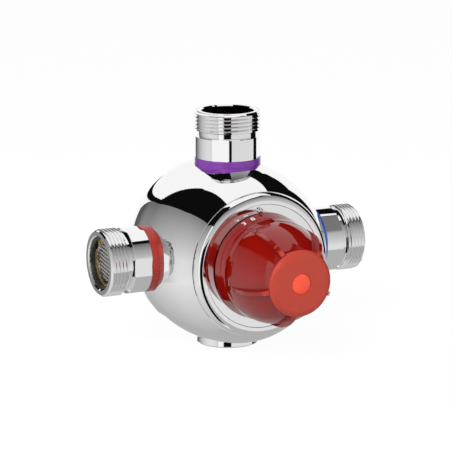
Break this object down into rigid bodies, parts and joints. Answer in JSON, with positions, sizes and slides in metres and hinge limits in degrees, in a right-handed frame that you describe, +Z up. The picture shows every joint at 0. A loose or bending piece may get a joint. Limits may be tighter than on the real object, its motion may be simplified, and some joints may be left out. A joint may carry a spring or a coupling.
{
  "type": "temperature-controlled mixing valve",
  "caption": "Chromed ball-shaped mixing valve with hot, cold and mixed water unions, coloured rings and a red temperature knob.",
  "frame": {"origin": "the point where the centre lines of the two inlets, the outlet and the knob cross", "axes": "+Z up towards the mixed outlet, +X towards the cold inlet, -Y towards the knob"},
  "size_m": [0.176, 0.1701, 0.1484],
  "materials": {
    "chrome": "polished chrome plating",
    "red_knob": "glossy red moulded plastic",
    "red_button": "satin orange-red plastic",
    "red_ring": "red plastic",
    "blue_ring": "blue plastic",
    "purple_ring": "purple plastic",
    "black_plastic": "black plastic",
    "black_rubber": "black rubber",
    "brass": "bright brass",
    "steel": "stainless steel",
    "white_plastic": "pale plastic"
  },
  "bodies": {
    "housing": {"valve_body": "chrome", "front_collar": "chrome", "index_pin": "chrome", "bottom_plug": "chrome", "hot_union": "chrome", "cold_union": "chrome", "mixed_union": "chrome", "hot_ring": "red_ring", "cold_ring": "blue_ring", "mixed_ring": "purple_ring", "hot_union_seal": "black_rubber", "cold_union_seal": "black_rubber", "mixed_union_seal": "black_rubber", "plug_seal": "black_rubber", "nut_seal": "black_rubber", "hot_cold_seal": "black_rubber", "cold_mixed_seal": "black_rubber", "hot_check_body": "black_plastic", "cold_check_body": "black_plastic", "hot_check_guide": "black_plastic", "cold_check_guide": "black_plastic", "hot_check_spring": "steel", "cold_check_spring": "steel", "hot_filter": "steel", "cold_filter": "steel", "hot_snap_ring": "brass", "cold_snap_ring": "brass", "cartridge_nut": "brass", "cartridge_sleeve": "brass", "return_spring": "steel"},
    "knob": {"control_knob": "red_knob", "knob_button": "red_button", "knob_screw": "steel", "stop_ring": "white_plastic", "adjusting_spindle": "brass", "spindle_seal": "black_rubber"},
    "carrier": {"setting_carrier": "brass", "overtravel_plunger": "brass", "overtravel_spring": "steel"},
    "mixer": {"mixing_piston": "white_plastic", "sensing_element": "brass"},
    "hot_poppet": {"hot_check_poppet": "white_plastic"},
    "cold_poppet": {"cold_check_poppet": "white_plastic"}
  },
  "joints": [
    {"name": "knob_turn", "type": "hinge", "parent": "housing", "child": "knob", "pos_m": [0, -0.08, 0], "axis": [0, -1, 0], "range_deg": [-150, 150]},
    {"name": "carrier_slide", "type": "slide", "parent": "housing", "child": "carrier", "axis": [0, -1, 0], "range_m": [-0.0017, 0.0017]},
    {"name": "mixer_slide", "type": "slide", "parent": "housing", "child": "mixer", "axis": [0, -1, 0], "range_m": [-0.0017, 0.0017], "deforming": ["return_spring"]},
    {"name": "hot_check_slide", "type": "slide", "parent": "housing", "child": "hot_poppet", "axis": [1, 0, 0], "range_m": [0, 0.004], "stiffness_N_per_m": 150, "springref_m": -0.004, "deforming": ["hot_check_spring"]},
    {"name": "cold_check_slide", "type": "slide", "parent": "housing", "child": "cold_poppet", "axis": [-1, 0, 0], "range_m": [0, 0.004], "stiffness_N_per_m": 150, "springref_m": -0.004, "deforming": ["cold_check_spring"]}
  ],
  "couplings": [
    {"joint": "carrier_slide", "follows": "knob_turn", "m_per_rad": -0.00063662},
    {"joint": "mixer_slide", "follows": "knob_turn", "m_per_rad": -0.00063662}
  ]
}
